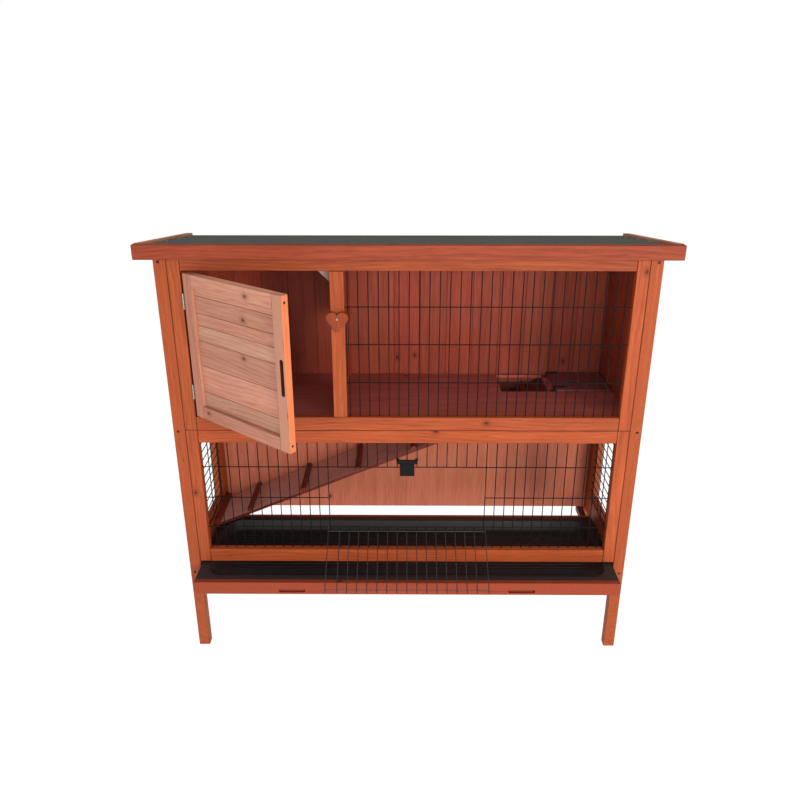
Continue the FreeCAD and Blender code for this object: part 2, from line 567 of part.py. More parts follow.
def tray_bowl(half_x, y, z_top, z_bottom, inset, radius):
    """A tapering hollow: a block with round corners whose four sides lean in by inset."""
    rims = []
    for z, shrink in ((z_top, 0.0), (z_bottom, inset)):
        x0, x1 = -half_x + shrink, half_x - shrink
        y0, y1, r = y[0] + shrink, y[1] - shrink, radius
        k = r * (1 - math.sqrt(0.5))
        edges = [Part.makeLine(Vector(x0 + r, y0, z), Vector(x1 - r, y0, z)),
                 Part.Arc(Vector(x1 - r, y0, z), Vector(x1 - k, y0 + k, z), Vector(x1, y0 + r, z)).toShape(),
                 Part.makeLine(Vector(x1, y0 + r, z), Vector(x1, y1 - r, z)),
                 Part.Arc(Vector(x1, y1 - r, z), Vector(x1 - k, y1 - k, z), Vector(x1 - r, y1, z)).toShape(),
                 Part.makeLine(Vector(x1 - r, y1, z), Vector(x0 + r, y1, z)),
                 Part.Arc(Vector(x0 + r, y1, z), Vector(x0 + k, y1 - k, z), Vector(x0, y1 - r, z)).toShape(),
                 Part.makeLine(Vector(x0, y1 - r, z), Vector(x0, y0 + r, z)),
                 Part.Arc(Vector(x0, y0 + r, z), Vector(x0 + k, y0 + k, z), Vector(x0 + r, y0, z)).toShape()]
        rims.append(Part.Wire(edges))
    return Part.makeLoft(rims, True, True)


def drawer():
    half = DRAWER_W / 2
    back = DRAWER_D
    front = timber((-half, half), (0, DRAWER_FRONT_T), (DRAWER_Z, DRAWER_TOP))
    for x in (-SLOT_X, SLOT_X):
        front = front.cut(rounded_slot(Vector(x, 0, DRAWER_Z + 11), SLOT_L, SLOT_H, SLOT_DEEP,
                                       Vector(1, 0, 0), Vector(0, 1, 0)))
    save("drawer_front", pulled(front))
    rim_z = (DRAWER_TOP - 1 - TRAY_T, DRAWER_TOP - 1)
    inner_y = (DRAWER_FRONT_T, back - 10)
    side = timber((half - DRAWER_SIDE_T, half), inner_y, (DRAWER_Z + 2, rim_z[0]))
    save("drawer_sides", pulled(side), pulled(mirrored(side)))
    save("drawer_back", pulled(timber((-half, half), (back - 10, back), (DRAWER_Z + 2, DRAWER_TOP))))

    mouth_x = half - 0.5 - TRAY_RIM
    mouth_y = (inner_y[0] + 16, inner_y[1] - TRAY_RIM + 2)
    floor_z = rim_z[1] - TRAY_DEPTH
    rim = box((-half + 0.5, half - 0.5), inner_y, rim_z)
    outer_y = (mouth_y[0] - TRAY_T, mouth_y[1] + TRAY_T)
    outer = tray_bowl(mouth_x + TRAY_T, outer_y, rim_z[0], floor_z - TRAY_T, TRAY_SLOPE, 42)
    inner = tray_bowl(mouth_x, mouth_y, rim_z[1], floor_z, TRAY_SLOPE, 40)
    tray = rim.fuse(outer).cut(inner)
    rib_x = mouth_x - TRAY_SLOPE - 30
    y = mouth_y[0] + TRAY_SLOPE + 12
    while y + RIB_W < mouth_y[1] - TRAY_SLOPE - 10:
        tray = tray.fuse(box((-rib_x, rib_x), (y, y + RIB_W), (floor_z - 0.5, floor_z + RIB_H)))
        y += RIB_PITCH
    save("drawer_tray", pulled(tray.removeSplitter()))

    runner_top = DRAWER_Z + 1.2         # the sides slide on it, the front stops ahead of it
    runner = timber((LEG_IN - BATTEN_W, LEG_IN), (DRAWER_FRONT_T + 2, BODY_D - 2),
                    (runner_top - 17.5, runner_top))
    save("drawer_runners", runner, mirrored(runner))


legs()
front_frames()
side_walls()
window_mesh()
back_wall()
front_mesh()
nest_door()
nest_door_hinges()
turn_button()
door_stop()
upper_inside()
ramp()
hatch_cover()
wire_door()
latch()
roof()
drawer()
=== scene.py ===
import bpy
import json
import math
from mathutils import Matrix, Vector


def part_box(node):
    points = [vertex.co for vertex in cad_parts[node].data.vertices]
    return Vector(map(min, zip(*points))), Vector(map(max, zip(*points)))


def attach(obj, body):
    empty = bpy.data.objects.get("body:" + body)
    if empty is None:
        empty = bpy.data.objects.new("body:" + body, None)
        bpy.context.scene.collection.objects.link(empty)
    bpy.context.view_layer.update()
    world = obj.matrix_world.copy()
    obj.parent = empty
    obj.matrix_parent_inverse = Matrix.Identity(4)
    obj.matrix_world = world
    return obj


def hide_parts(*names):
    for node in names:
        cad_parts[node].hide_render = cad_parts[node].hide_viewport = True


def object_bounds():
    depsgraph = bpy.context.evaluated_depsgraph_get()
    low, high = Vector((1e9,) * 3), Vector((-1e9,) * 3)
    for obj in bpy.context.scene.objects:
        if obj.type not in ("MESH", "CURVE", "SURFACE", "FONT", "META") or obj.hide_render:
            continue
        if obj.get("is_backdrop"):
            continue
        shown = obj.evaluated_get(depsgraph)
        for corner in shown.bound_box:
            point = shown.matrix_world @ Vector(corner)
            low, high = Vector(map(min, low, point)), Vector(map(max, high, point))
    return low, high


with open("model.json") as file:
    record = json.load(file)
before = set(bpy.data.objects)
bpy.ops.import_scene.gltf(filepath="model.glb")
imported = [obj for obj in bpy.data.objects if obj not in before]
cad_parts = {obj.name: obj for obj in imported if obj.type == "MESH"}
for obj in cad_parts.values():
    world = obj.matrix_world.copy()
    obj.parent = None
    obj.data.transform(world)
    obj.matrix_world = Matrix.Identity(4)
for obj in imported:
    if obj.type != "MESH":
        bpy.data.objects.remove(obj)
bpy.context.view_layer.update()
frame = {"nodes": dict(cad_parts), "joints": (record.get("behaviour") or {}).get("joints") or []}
nodes = frame["nodes"]

# ---- Studio ---------------------------------------------------------------------------------
# The hutch stands on a plain white floor. A low, broad light at its right front reaches in
# through the wire. Two weaker ones stand at its front and left front, and a wide one hangs overhead.
scene = bpy.context.scene
scene.view_settings.view_transform = "Standard"
posts_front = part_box("right_front_leg")[0].y
camera_place = (-0.0077, posts_front - 1.7034, 1.4338)
camera_tilt, camera_pan = math.radians(68.03), math.radians(0.35)
bpy.ops.object.select_all(action="DESELECT")
bpy.ops.object.camera_add(location=camera_place, rotation=(camera_tilt, 0, camera_pan))
camera = bpy.context.object
camera.data.lens = 33.69
scene.camera = camera


def srgb(code):
    """A hex colour as linear red, green, blue and alpha."""
    values = [int(code[i:i + 2], 16) / 255 for i in (1, 3, 5)]
    return tuple(v / 12.92 if v <= 0.04045 else ((v + 0.055) / 1.055) ** 2.4 for v in values) + (1.0,)


def add(tree, kind, inputs=None, **settings):
    """Adds one shader node. An output given as an input is linked, and a plain value is set. Inputs
    go by name or number: in a Math node they are 0 to 2, and a colour Mix takes its two colours as
    6 and 7."""
    made = tree.nodes.new("ShaderNode" + kind)
    for name, value in settings.items():
        setattr(made, name, value)
    for name, value in (inputs or {}).items():
        if isinstance(value, bpy.types.NodeSocket):
            tree.links.new(value, made.inputs[name])
        else:
            made.inputs[name].default_value = value
    return made


def new_material(name, roughness, metallic=0.0):
    """A new material with its tree and its one surface shader."""
    material = bpy.data.materials.new(name)
    material.use_nodes = True
    shader = material.node_tree.nodes["Principled BSDF"]
    shader.inputs["Roughness"].default_value = roughness
    shader.inputs["Metallic"].default_value = metallic
    return material, material.node_tree, shader


bpy.ops.mesh.primitive_plane_add(size=60, location=(0, 0, 0))
floor = bpy.context.object
floor.name = "studio_floor"
# A matt white floor, evened out so that the ground shows no horizon and only a hint of shadow.
white, tree, shader = new_material("matt_white_floor", 0.9)
shader.inputs["Base Color"].default_value = srgb("#f4f4f4")
shader.inputs["Emission Color"].default_value = (1, 1, 1, 1)
shader.inputs["Emission Strength"].default_value = 0.50
glow = add(tree, "Emission", {"Color": (1, 1, 1, 1), "Strength": 1.06})
straight = add(tree, "LightPath").outputs["Is Camera Ray"]
most = add(tree, "Math", {0: straight, 1: 0.82}, operation="MULTIPLY").outputs[0]
evened = add(tree, "MixShader", {0: most, 1: shader.outputs[0], 2: glow.outputs[0]})
tree.links.new(evened.outputs[0], tree.nodes["Material Output"].inputs["Surface"])
floor.data.materials.append(white)
floor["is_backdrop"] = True

world = bpy.data.worlds.new("studio")
scene.world = world
world.use_nodes = True
sky = world.node_tree
dim = sky.nodes["Background"]
dim.inputs["Color"].default_value = (1, 1, 1, 1)
dim.inputs["Strength"].default_value = 0.27
bright = add(sky, "Background", {"Color": (1, 1, 1, 1), "Strength": 1.0})
ray = add(sky, "LightPath")
backdrop = add(sky, "MixShader", {0: ray.outputs["Is Camera Ray"], 1: dim.outputs[0],
                                  2: bright.outputs[0]})
sky.links.new(backdrop.outputs[0], sky.nodes["World Output"].inputs["Surface"])


def soft_light(place, target, power, size):
    """A square light of this power and width that faces the target."""
    facing = (Vector(target) - Vector(place)).to_track_quat("-Z", "Y").to_euler()
    bpy.ops.object.light_add(type="AREA", location=place, rotation=facing)
    lamp = bpy.context.object.data
    lamp.energy = power
    lamp.size = size
    return lamp


key = soft_light(place=(2.4, -3.6, 1.35), target=(0, 0, 0.7), power=122, size=1.5)
key.color = srgb("#fff0e0")[:3]
soft_light(place=(-1.4, -2.9, 1.5), target=(0, 0, 0.6), power=15, size=1.6)
soft_light(place=(0.3, -3.3, 1.5), target=(0, 0, 0.5), power=26, size=1.2)
soft_light(place=(0, -0.9, 3.4), target=(0, -0.9, 0), power=52, size=4.0)

# ---- Legs -----------------------------------------------------------------------------------
# Four posts of planed fir, dipped in a thin red-orange stain. Each front post takes three screws
# in counterbored holes. The two storeys' frames and walls are fixed between the posts.
board_count = 0


def corners(points):
    """The low and high corner of the box round these points."""
    low = Vector([min(point[i] for point in points) for i in range(3)])
    high = Vector([max(point[i] for point in points) for i in range(3)])
    return low, high


def blocks(node, undo=Matrix()):
    """The low and high corner of each separate solid in a CAD node, from the lowest up. undo turns
    the node to lie square with the axes first."""
    mesh = nodes[node].data
    spots = [tuple(round(c, 6) for c in vertex.co) for vertex in mesh.vertices]
    owner = {spot: spot for spot in spots}

    def root(spot):
        while owner[spot] != spot:
            owner[spot] = owner[owner[spot]]
            spot = owner[spot]
        return spot

    for face in mesh.polygons:
        first = root(spots[face.vertices[0]])
        for i in face.vertices[1:]:
            owner[root(spots[i])] = first
    groups = {}
    for spot in owner:
        groups.setdefault(root(spot), []).append(undo @ Vector(spot))
    found = [corners(points) for points in groups.values()]
    return sorted(found, key=lambda pair: (round(pair[0].z, 4), round(pair[0].x, 4), pair[0].y))


def rows(node, axis, undo=Matrix()):
    """The low and high corner of each board in a CAD node whose boards touch along an axis."""
    mesh = nodes[node].data
    points = [undo @ vertex.co for vertex in mesh.vertices]
    low, high = corners(points)
    seams = set()
    for face in mesh.polygons:
        if abs((undo.to_3x3() @ face.normal)[axis]) > 0.999:
            seams.add(round(points[face.vertices[0]][axis], 5))
    seams = sorted(seams)
    found = []
    for start, end in zip(seams, seams[1:]):
        first, last = low.copy(), high.copy()
        first[axis], last[axis] = start, end
        found.append((first, last))
    return found


def only(thing):
    """Selects this object alone and makes it the active one."""
    bpy.ops.object.select_all(action="DESELECT")
    thing.select_set(True)
    bpy.context.view_layer.objects.active = thing


def joined(pieces, name):
    """Joins these objects into the first one and names it."""
    only(pieces[0])
    for piece in pieces:
        piece.select_set(True)
    if len(pieces) > 1:
        bpy.ops.object.join()
    pieces[0].name = name
    return pieces[0]


def planed(name, sizes, rounding=0.0013, gap=(0.0003, 0.0003, 0.0003), thick=None):
    """Planed timbers with sanded edges, one for each pair of corners, as one piece. gap is the
    open joint left on each side. With thick, they fall towards the back at that thickness. Each
    timber has a number of its own in "board", and its sanded edges are 1 in "edge", where the
    wood paints shade on them."""
    global board_count
    made = []
    for low, high in sizes:
        low, high = low + Vector(gap), high - Vector(gap)
        bottom = high.z - thick if thick else low.z
        bpy.ops.object.select_all(action="DESELECT")
        middle = ((low.x + high.x) / 2, (low.y + high.y) / 2, (bottom + high.z) / 2)
        bpy.ops.mesh.primitive_cube_add(size=1, location=middle)
        block = bpy.context.object
        block.scale = (high.x - low.x, high.y - low.y, high.z - bottom)
        bpy.ops.object.transform_apply(location=True, rotation=True, scale=True)
        if thick:
            bpy.ops.object.mode_set(mode="EDIT")
            bpy.ops.mesh.select_all(action="DESELECT")
            bpy.ops.object.mode_set(mode="OBJECT")
            for vertex in block.data.vertices:
                vertex.select = vertex.co.y > (low.y + high.y) / 2
            bpy.ops.object.mode_set(mode="EDIT")
            bpy.ops.transform.translate(value=(0, 0, low.z - bottom))
            bpy.ops.object.mode_set(mode="OBJECT")
        sides = [face.normal.copy() for face in block.data.polygons]
        bpy.ops.object.mode_set(mode="EDIT")
        bpy.ops.mesh.select_all(action="SELECT")
        bpy.ops.mesh.bevel(offset=rounding, segments=2, affect="EDGES")
        bpy.ops.object.mode_set(mode="OBJECT")
        mesh = block.data
        flat = set()
        for face in mesh.polygons:
            if any(face.normal.dot(side) > 0.9999 for side in sides):
                flat.update(face.vertices)
        # Painted shade: this marks the rounded edges, which the wood darkens.
        edge_shade = mesh.attributes.new("edge", "FLOAT", "POINT")
        edge_shade.data.foreach_set("value", [float(i not in flat) for i in range(len(mesh.vertices))])
        board_count += 1
        number = mesh.attributes.new("board", "FLOAT", "POINT")
        number.data.foreach_set("value", [float(board_count)] * len(mesh.vertices))
        made.append(block)
    return joined(made, name)


def combine(piece, other, how):
    """Adds another shape to a piece or cuts it out, and removes the other shape."""
    only(piece)
    change = piece.modifiers.new("change", "BOOLEAN")
    change.object = other
    change.operation = how
    change.solver = "EXACT"
    bpy.ops.object.modifier_apply(modifier=change.name)
    bpy.data.objects.remove(other)


def cut_out(piece, cutters):
    """Cuts these shapes out of a piece and removes them."""
    for cutter in cutters:
        combine(piece, cutter, "DIFFERENCE")


deck_low, deck_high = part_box("roof_deck")
deck_thick = 0.009
deck_fall = (deck_high.z - deck_low.z - deck_thick) / (deck_high.y - deck_low.y)


def trimmed(piece):
    """Cuts a piece's top off along the underside of the roof deck."""
    under_deck = (0, deck_low.y, deck_high.z - deck_thick)
    only(piece)
    bpy.ops.object.mode_set(mode="EDIT")
    bpy.ops.mesh.select_all(action="SELECT")
    bpy.ops.mesh.bisect(plane_co=under_deck, plane_no=(0, deck_fall, 1), use_fill=True,
                        clear_outer=True)
    bpy.ops.object.mode_set(mode="OBJECT")
    return piece


def fit(piece, node, body, material):
    """Dresses a piece, lets it stand for its CAD node, and lets it ride on that node's body."""
    piece.data.materials.clear()
    piece.data.materials.append(material)
    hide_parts(node)
    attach(piece, body)


def wood(name, along, early, late, knot, rough=0.5, rings=0.28, patch=1.1, knots=0.42, swing=0.0):
    """Stained softwood with its grain along X, Y or Z. The stain lies darker on the late wood, round
    the knots and in patches, and painted shade darkens the sanded edges. Late wood comes every
    7 mm, where the real wood's 2 to 3 mm would be too fine to show. Each timber reads its own part
    of the pattern. early, late and knot are colours. rings and patch are how strong the rings and
    patches are, and knots is the share of places that have one. swing turns the grain with a door that
    stands open."""
    material, tree, shader = new_material(name, rough)
    place = add(tree, "TexCoord").outputs["Object"]
    place = add(tree, "Mapping", {"Vector": place, "Rotation": (0, 0, swing)}).outputs[0]
    turn = {"X": (0, 0, 0), "Y": (0, 0, -math.pi / 2), "Z": (0, math.pi / 2, 0)}[along]
    # The rings' middle lies off the timber's axis, and the pattern moves on by a step per timber.
    pith = (0, 0.013, 0.021)
    place = add(tree, "Mapping", {"Vector": place, "Rotation": turn, "Location": pith}).outputs[0]
    number = add(tree, "Attribute", attribute_name="board").outputs["Fac"]
    shift = add(tree, "CombineXYZ", {"X": number, "Y": number, "Z": number}).outputs[0]
    step = (1.713, 0.1731, 0.1217)
    shift = add(tree, "VectorMath", {0: shift, 1: step}, operation="MULTIPLY").outputs[0]
    place = add(tree, "VectorMath", {0: place, 1: shift}).outputs[0]

    # Knots: at most one in each cell of a grid, with a dark heart and a fading halo.
    parts = add(tree, "SeparateXYZ", {0: place}).outputs
    across = add(tree, "Math", {0: parts["Y"], 1: parts["Z"]}).outputs[0]
    flat = add(tree, "CombineXYZ", {"X": parts["X"], "Y": across}).outputs[0]
    cells_per_metre = (3.4, 17.0, 1.0)
    grid = add(tree, "VectorMath", {0: flat, 1: cells_per_metre}, operation="MULTIPLY").outputs[0]
    spots = add(tree, "TexVoronoi", {"Vector": grid, "Scale": 1.0}, voronoi_dimensions="2D").outputs
    away = add(tree, "VectorMath", {0: grid, 1: spots["Position"]}, operation="SUBTRACT").outputs[0]
    away = add(tree, "VectorMath", {0: away, 1: cells_per_metre}, operation="DIVIDE").outputs[0]
    away = add(tree, "VectorMath", {0: away, 1: (0.7, 1.0, 0.0)}, operation="MULTIPLY").outputs[0]
    away = add(tree, "VectorMath", {0: away}, operation="LENGTH").outputs["Value"]
    chance = add(tree, "SeparateColor", {0: spots["Color"]}).outputs["Red"]
    there = add(tree, "Math", {0: chance, 1: 1 - knots}, operation="GREATER_THAN").outputs[0]
    halo = add(tree, "MapRange", {"Value": away, "From Min": 0.002, "From Max": 0.014, "To Min": 1.0,
                                  "To Max": 0.0}, interpolation_type="SMOOTHSTEP").outputs[0]
    halo = add(tree, "Math", {0: halo, 1: there}, operation="MULTIPLY").outputs[0]
    heart = add(tree, "MapRange", {"Value": away, "From Min": 0.0018, "From Max": 0.0048, "To Min": 1.0,
                                   "To Max": 0.0}, interpolation_type="SMOOTHSTEP").outputs[0]
    heart = add(tree, "Math", {0: heart, 1: there}, operation="MULTIPLY").outputs[0]

    # Grain: rings that wander and bend round the knots, fine fibres, and patches of thicker stain.
    slow = add(tree, "VectorMath", {0: place, 1: (1.7, 9.0, 9.0)}, operation="MULTIPLY").outputs[0]
    drift = add(tree, "TexNoise", {"Vector": slow, "Scale": 1.0, "Detail": 2.0}).outputs["Color"]
    drift = add(tree, "VectorMath", {0: drift, 1: (0.0, 0.05, 0.05)}, operation="MULTIPLY").outputs[0]
    bent = add(tree, "VectorMath", {0: place, 1: drift}).outputs[0]
    push = add(tree, "Math", {0: halo, 1: 0.012}, operation="MULTIPLY").outputs[0]
    push = add(tree, "CombineXYZ", {"Y": push, "Z": push}).outputs[0]
    bent = add(tree, "VectorMath", {0: bent, 1: push}).outputs[0]
    wave = add(tree, "TexWave", {"Vector": bent, "Scale": 45.0, "Distortion": 1.2, "Detail": 2.0,
                                 "Detail Scale": 0.6}, wave_type="RINGS", rings_direction="X",
               wave_profile="SAW").outputs["Fac"]
    fine = add(tree, "VectorMath", {0: bent, 1: (20.0, 520.0, 520.0)}, operation="MULTIPLY").outputs[0]
    fibre = add(tree, "TexNoise", {"Vector": fine, "Scale": 1.0, "Detail": 2.0}).outputs["Fac"]
    wide = add(tree, "VectorMath", {0: place, 1: (4.5, 42.0, 42.0)}, operation="MULTIPLY").outputs[0]
    cloud = add(tree, "TexNoise", {"Vector": wide, "Scale": 1.0, "Detail": 4.0,
                                   "Roughness": 0.6}).outputs["Fac"]
    ring = add(tree, "MapRange", {"Value": wave, "From Min": 0.3, "From Max": 1.0,
                                  "To Max": rings}).outputs[0]
    fibres = 0.9
    grain = add(tree, "Math", {0: fibre, 1: fibres, 2: ring}, operation="MULTIPLY_ADD").outputs[0]
    grain = add(tree, "Math", {0: cloud, 1: patch, 2: grain}, operation="MULTIPLY_ADD").outputs[0]
    clear = 0.02 + (fibres + patch) / 2 - 0.42
    grain = add(tree, "Math", {0: grain, 1: clear}, operation="SUBTRACT", use_clamp=True).outputs[0]

    # Colour: early to late wood, a lighter or redder tint for each timber, then knots, then painted
    # shade along the sanded edges.
    colour = add(tree, "Mix", {0: grain, 6: srgb(early), 7: srgb(late)}, data_type="RGBA").outputs[2]
    lot = add(tree, "TexWhiteNoise", {"W": number}, noise_dimensions="1D").outputs
    light = add(tree, "MapRange", {"Value": lot["Value"], "To Min": 0.86, "To Max": 1.12}).outputs[0]
    yellow = add(tree, "SeparateColor", {0: lot["Color"]}).outputs["Green"]
    yellow = add(tree, "MapRange", {"Value": yellow, "To Min": 0.93, "To Max": 1.12}).outputs[0]
    yellow = add(tree, "Math", {0: light, 1: yellow}, operation="MULTIPLY").outputs[0]
    tone = add(tree, "CombineColor", {0: light, 1: yellow, 2: yellow}).outputs[0]
    colour = add(tree, "Mix", {0: 1.0, 6: colour, 7: tone}, data_type="RGBA",
                 blend_type="MULTIPLY").outputs[2]
    ring_stain = add(tree, "Math", {0: halo, 1: 0.42}, operation="MULTIPLY").outputs[0]
    colour = add(tree, "Mix", {0: ring_stain, 6: colour, 7: srgb(knot)}, data_type="RGBA").outputs[2]
    core = add(tree, "Math", {0: heart, 1: 0.85}, operation="MULTIPLY").outputs[0]
    colour = add(tree, "Mix", {0: core, 6: colour, 7: srgb(knot)}, data_type="RGBA").outputs[2]
    # Painted shade: the sanded edges blend towards the knot colour, standing in for the shade in the
    # joints between timbers.
    edge = add(tree, "Attribute", attribute_name="edge").outputs["Fac"]
    edge = add(tree, "Math", {0: edge, 1: 0.6}, operation="MULTIPLY").outputs[0]
    colour = add(tree, "Mix", {0: edge, 6: colour, 7: srgb(knot)}, data_type="RGBA").outputs[2]
    tree.links.new(colour, shader.inputs["Base Color"])

    # Surface: duller where the stain soaks in, and a little sunken there.
    shader.inputs["Specular IOR Level"].default_value = 0.22
    sheen = add(tree, "MapRange", {"Value": grain, "To Min": rough - 0.06,
                                   "To Max": rough + 0.14}).outputs[0]
    tree.links.new(sheen, shader.inputs["Roughness"])
    relief = add(tree, "Math", {0: grain, 1: -1.0}, operation="MULTIPLY").outputs[0]
    relief = add(tree, "Bump", {"Height": relief, "Strength": 0.3, "Distance": 0.0006}).outputs[0]
    tree.links.new(relief, shader.inputs["Normal"])
    return material


# Wiped oil stain on planed fir: warm red-orange, satin, with dark small knots.
fir = {}
for along in "XYZ":
    fir[along] = wood("red_stained_fir_" + along, along, "#ad5227", "#793115", "#35120a")


def counterbore(place, turn):
    """The shape of a screw's hole, to be cut out, with its middle at the timber's face."""
    bpy.ops.mesh.primitive_cylinder_add(vertices=24, radius=0.0035, depth=0.008, location=place,
                                        rotation=turn)
    return bpy.context.object


screws = [(low + high) / 2 for low, high in blocks("frame_screws")]
for side in ("left", "right"):
    for end in ("front", "rear"):
        node = side + "_" + end + "_leg"
        leg = trimmed(planed(node + "_post", blocks(node), gap=(0.0003, 0, 0)))
        low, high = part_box(node)
        holes = []
        for spot in screws:
            if end == "front" and low.x < spot.x < high.x:
                holes.append(counterbore((spot.x, low.y, spot.z), (math.pi / 2, 0, 0)))
        cut_out(leg, holes)
        fit(leg, node, "carcass", fir["Z"])

# ---- Front frames ---------------------------------------------------------------------------
# One frame for each storey: stiles outside, rails between them, butt-jointed and nailed, and a
# centre stile beside the nest. Fir, planed and stained like the posts.
for node, along, meets_roof in (("lower_front_stiles", "Z", False),
                                ("lower_front_bottom_rail", "X", False),
                                ("lower_front_top_rail", "X", False),
                                ("upper_front_stiles", "Z", True),
                                ("upper_front_bottom_rail", "X", False),
                                ("upper_front_top_rail", "X", True),
                                ("centre_stile", "Z", False)):
    timber = planed(node + "_timber", blocks(node))
    if meets_roof:
        trimmed(timber)
    fit(timber, node, "carcass", fir[along])

# ---- Side walls -----------------------------------------------------------------------------
# Below, a fir frame round a window: a sill, a head and two posts. Above, upright tongued boards
# behind two rails. The boards soaked up more stain than the planed timbers: darker and redder.
sill_depth, head_depth, post_width = 0.078, 0.039, 0.070
boards = wood("deep_red_boards", "Z", "#a64a33", "#752c1f", "#34120c", rings=0.18,
              patch=0.9, knots=0.15)
for side in ("left", "right"):
    low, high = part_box(side + "_side_frame")
    sill, head = low.z + sill_depth, high.z - head_depth
    window = planed(side + "_window_frame", [
        (low, Vector((high.x, high.y, sill))), (Vector((low.x, low.y, head)), high),
        (Vector((low.x, low.y, sill)), Vector((high.x, low.y + post_width, head))),
        (Vector((low.x, high.y - post_width, sill)), Vector((high.x, high.y, head)))])
    fit(window, side + "_side_frame", "carcass", fir["Y"])
    window.data.materials.append(fir["Z"])
    for face in window.data.polygons:
        face.material_index = int(sill < face.center.z < head)
    wall = trimmed(planed(side + "_wall_boards", rows(side + "_side_boards", 1), gap=(0, 0, 0)))
    fit(wall, side + "_side_boards", "carcass", boards)
    bottom, top = blocks(side + "_side_rails")
    lower_rail = planed("lower_rail", [bottom])
    upper_rail = planed("upper_rail", [top], thick=bottom[1].z - bottom[0].z)
    wall_rails = joined([lower_rail, upper_rail], side + "_wall_rails")
    fit(wall_rails, side + "_side_rails", "carcass", fir["Y"])

# ---- Back wall ------------------------------------------------------------------------------
# Fifteen upright tongued boards above, two sheets of thin plywood below, and three rails behind
# them. The plywood took the stain unevenly and looks paler and pinker.
wall = trimmed(planed("back_wall_boards", rows("upper_back_boards", 0), gap=(0, 0, 0)))
fit(wall, "upper_back_boards", "carcass", boards)
ply_look = {"rings": 0.12, "patch": 1.0, "knots": 0.08, "rough": 0.55}
pink_ply = wood("pink_stained_plywood", "Z", "#c6755a", "#9d4e3b", "#4a1d15", **ply_look)


def painted_shade_between(material, start, end, code):
    """Paints shade into a wood's colour: it deepens to this colour between two heights."""
    tree = material.node_tree
    shader = tree.nodes["Principled BSDF"]
    stain = shader.inputs["Base Color"].links[0].from_socket
    parts = add(tree, "SeparateXYZ", {0: add(tree, "TexCoord").outputs["Object"]}).outputs
    depth = add(tree, "MapRange", {"Value": parts["Z"], "From Min": start, "From Max": end}).outputs[0]
    colour = add(tree, "Mix", {0: depth, 6: stain, 7: srgb(code)}, data_type="RGBA").outputs[2]
    tree.links.new(colour, shader.inputs["Base Color"])


# The inside face is the same plywood, with painted shade that darkens it where it nears the upper
# floor.
under_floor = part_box("upper_floor")[0].z
inner_ply = wood("pink_plywood_inside_painted_shade", "Z", "#c6755a", "#9d4e3b", "#4a1d15", **ply_look)
painted_shade_between(inner_ply, start=under_floor - 0.20, end=under_floor - 0.12, code="#62291f")
panels = planed("back_plywood_panels", rows("lower_back_panels", 0), rounding=0.0006,
                gap=(0, 0, 0))
fit(panels, "lower_back_panels", "carcass", pink_ply)
panels.data.materials.append(inner_ply)
for face in panels.data.polygons:
    face.material_index = int(face.normal.y < -0.5)
rails = planed("back_rails", blocks("back_frame"))
fit(rails, "back_frame", "carcass", fir["X"])

# ---- Wire mesh ------------------------------------------------------------------------------
# Welded 2 mm steel wire, 2.5 mm thick with its black plastic coat. The coat is smooth and barely
# glossy, so the wires look like plain black lines.
black_wire, tree, shader = new_material("black_coated_wire", 0.5)
shader.inputs["Base Color"].default_value = srgb("#060607")
shader.inputs["Specular IOR Level"].default_value = 0.15


def drawn_wires(name, sizes, radius=0.00125):
    """Straight wires with slightly rounded ends, one along each block's longest side."""
    made = []
    for low, high in sizes:
        span = high - low
        axis = max(range(3), key=lambda i: span[i])
        turn = ((0, math.pi / 2, 0), (math.pi / 2, 0, 0), (0, 0, 0))[axis]
        bpy.ops.object.select_all(action="DESELECT")
        bpy.ops.mesh.primitive_cylinder_add(vertices=10, radius=radius, depth=span[axis],
                                            location=(low + high) / 2, rotation=turn)
        bpy.ops.object.transform_apply(location=True, rotation=True, scale=True)
        wire = bpy.context.object
        for face in wire.data.polygons:
            face.select = abs(face.normal[axis]) > 0.9
        bpy.ops.object.mode_set(mode="EDIT")
        bpy.ops.mesh.select_mode(type="FACE")
        bpy.ops.mesh.inset(thickness=radius * 0.4, depth=0.0)
        bpy.ops.mesh.select_mode(type="VERT")
        bpy.ops.object.mode_set(mode="OBJECT")
        made.append(wire)
    wires = joined(made, name)
    bpy.ops.object.shade_smooth_by_angle(angle=math.radians(50))
    return wires


def dress(names, material):
    """Gives CAD nodes that show as they are this one material."""
    for name in names:
        nodes[name].data.materials.clear()
        nodes[name].data.materials.append(material)


for node in ("upper_front_mesh", "lower_front_mesh", "left_window_mesh", "right_window_mesh"):
    wires = drawn_wires(node + "_wires", blocks(node))
    fit(wires, node, "carcass", black_wire)
# The wire door's coat is glossier, so its wires catch thin grey highlights over the black tray.
door_wire, tree, shader = new_material("glossy_black_coated_wire", 0.32)
shader.inputs["Base Color"].default_value = srgb("#101014")
shader.inputs["Specular IOR Level"].default_value = 0.8
dress(["wire_door"], door_wire)

# ---- Floor and partition of the upper storey ------------------------------------------------
# Thin stained plywood, sawn out for the hatch and the doorway and nailed to fir battens. Little
# light gets in here, and its stain is a deep wine red.
wine_ply = wood("wine_stained_plywood", "X", "#b4645a", "#87443c", "#3a1814", rings=0.1, patch=1.0,
                knots=0.1, rough=0.5)
dress(["upper_floor"], wine_ply)
dress(["partition"], boards)
battens = planed("floor_battens_timber", blocks("floor_battens"))
fit(battens, "floor_battens", "carcass", fir["X"])
# The door stop is only primed, so it shows as a flat pale grey-brown corner.
primer, tree, shader = new_material("grey_primed_wood", 0.75)
shader.inputs["Base Color"].default_value = srgb("#93786d")
dress(["door_stop"], primer)

